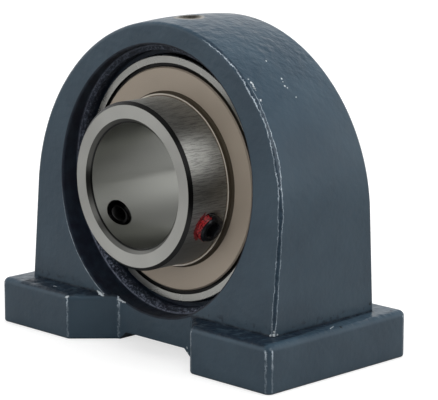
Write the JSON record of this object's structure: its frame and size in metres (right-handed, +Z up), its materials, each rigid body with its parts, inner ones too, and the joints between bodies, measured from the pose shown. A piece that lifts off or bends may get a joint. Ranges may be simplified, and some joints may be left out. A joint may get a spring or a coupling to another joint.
{
  "type": "pillow block bearing",
  "caption": "Tapped-base pillow block: cast housing on feet with a self-aligning ball insert, a wide inner ring and set screws.",
  "frame": {"origin": "on the base plane, midway between the two tapped holes and under the bearing seat's centre", "axes": "+X along the base, +Y along the shaft away from the set screws, +Z up"},
  "size_m": [0.109, 0.055, 0.0924],
  "materials": {
    "cast_enamel": "semi-gloss slate enamel over a cast surface",
    "ground_steel": "ground",
    "flinger_plate": "satin tan passivated plate",
    "shield_steel": "satin",
    "seal_rubber": "matte",
    "black_oxide": "black oxide",
    "cage_steel": "pressed",
    "ball_steel": "polished"
  },
  "bodies": {
    "housing": {"housing": "cast_enamel"},
    "outer_ring": {"outer_ring": "ground_steel", "seal_case_front": "shield_steel", "seal_case_rear": "shield_steel", "seal_lip_front": "seal_rubber", "seal_lip_rear": "seal_rubber"},
    "inner_ring": {"inner_ring": "ground_steel", "flinger_front": "flinger_plate", "flinger_rear": "flinger_plate"},
    "cage": {"cage_front": "cage_steel", "cage_rear": "cage_steel", "cage_rivets": "cage_steel"},
    "set_screw_right": {"set_screw_right": "black_oxide"},
    "set_screw_left": {"set_screw_left": "black_oxide"},
    "ball_1": {"ball_1": "ball_steel"},
    "ball_2": {"ball_2": "ball_steel"},
    "ball_3": {"ball_3": "ball_steel"},
    "ball_4": {"ball_4": "ball_steel"},
    "ball_5": {"ball_5": "ball_steel"},
    "ball_6": {"ball_6": "ball_steel"},
    "ball_7": {"ball_7": "ball_steel"},
    "ball_8": {"ball_8": "ball_steel"},
    "ball_9": {"ball_9": "ball_steel"}
  },
  "joints": [
    {"name": "insert_swivel", "type": "hinge", "parent": "housing", "child": "outer_ring", "pos_m": [0, 0, 0.0476], "axis": [1, 0, 0], "range_deg": [-3, 3]},
    {"name": "shaft_spin", "type": "hinge", "parent": "outer_ring", "child": "inner_ring", "pos_m": [0, 0, 0.0476], "axis": [0, 1, 0], "continuous": true},
    {"name": "cage_orbit", "type": "hinge", "parent": "outer_ring", "child": "cage", "pos_m": [0, 0, 0.0476], "axis": [0, 1, 0], "continuous": true},
    {"name": "ball_spin_1", "type": "hinge", "parent": "cage", "child": "ball_1", "pos_m": [0, 0, 0.07435], "axis": [0, 1, 0], "continuous": true},
    {"name": "ball_spin_2", "type": "hinge", "parent": "cage", "child": "ball_2", "pos_m": [0.01719, 0, 0.06809], "axis": [0, 1, 0], "continuous": true},
    {"name": "ball_spin_3", "type": "hinge", "parent": "cage", "child": "ball_3", "pos_m": [0.02634, 0, 0.05224], "axis": [0, 1, 0], "continuous": true},
    {"name": "ball_spin_4", "type": "hinge", "parent": "cage", "child": "ball_4", "pos_m": [0.02317, 0, 0.03422], "axis": [0, 1, 0], "continuous": true},
    {"name": "ball_spin_5", "type": "hinge", "parent": "cage", "child": "ball_5", "pos_m": [0.00915, 0, 0.02246], "axis": [0, 1, 0], "continuous": true},
    {"name": "ball_spin_6", "type": "hinge", "parent": "cage", "child": "ball_6", "pos_m": [-0.00915, 0, 0.02246], "axis": [0, 1, 0], "continuous": true},
    {"name": "ball_spin_7", "type": "hinge", "parent": "cage", "child": "ball_7", "pos_m": [-0.02317, 0, 0.03422], "axis": [0, 1, 0], "continuous": true},
    {"name": "ball_spin_8", "type": "hinge", "parent": "cage", "child": "ball_8", "pos_m": [-0.02634, 0, 0.05224], "axis": [0, 1, 0], "continuous": true},
    {"name": "ball_spin_9", "type": "hinge", "parent": "cage", "child": "ball_9", "pos_m": [-0.01719, 0, 0.06809], "axis": [0, 1, 0], "continuous": true},
    {"name": "set_screw_right_travel", "type": "slide", "parent": "inner_ring", "child": "set_screw_right", "axis": [0.9239, 0, -0.3827], "range_m": [-0.0002, 0.004]},
    {"name": "set_screw_left_travel", "type": "slide", "parent": "inner_ring", "child": "set_screw_left", "axis": [-0.7934, 0, -0.6088], "range_m": [-0.0002, 0.004]}
  ],
  "couplings": [
    {"joint": "cage_orbit", "follows": "shaft_spin", "ratio": 0.39615},
    {"joint": "ball_spin_1", "follows": "shaft_spin", "ratio": -2.3033},
    {"joint": "ball_spin_2", "follows": "shaft_spin", "ratio": -2.3033},
    {"joint": "ball_spin_3", "follows": "shaft_spin", "ratio": -2.3033},
    {"joint": "ball_spin_4", "follows": "shaft_spin", "ratio": -2.3033},
    {"joint": "ball_spin_5", "follows": "shaft_spin", "ratio": -2.3033},
    {"joint": "ball_spin_6", "follows": "shaft_spin", "ratio": -2.3033},
    {"joint": "ball_spin_7", "follows": "shaft_spin", "ratio": -2.3033},
    {"joint": "ball_spin_8", "follows": "shaft_spin", "ratio": -2.3033},
    {"joint": "ball_spin_9", "follows": "shaft_spin", "ratio": -2.3033}
  ]
}
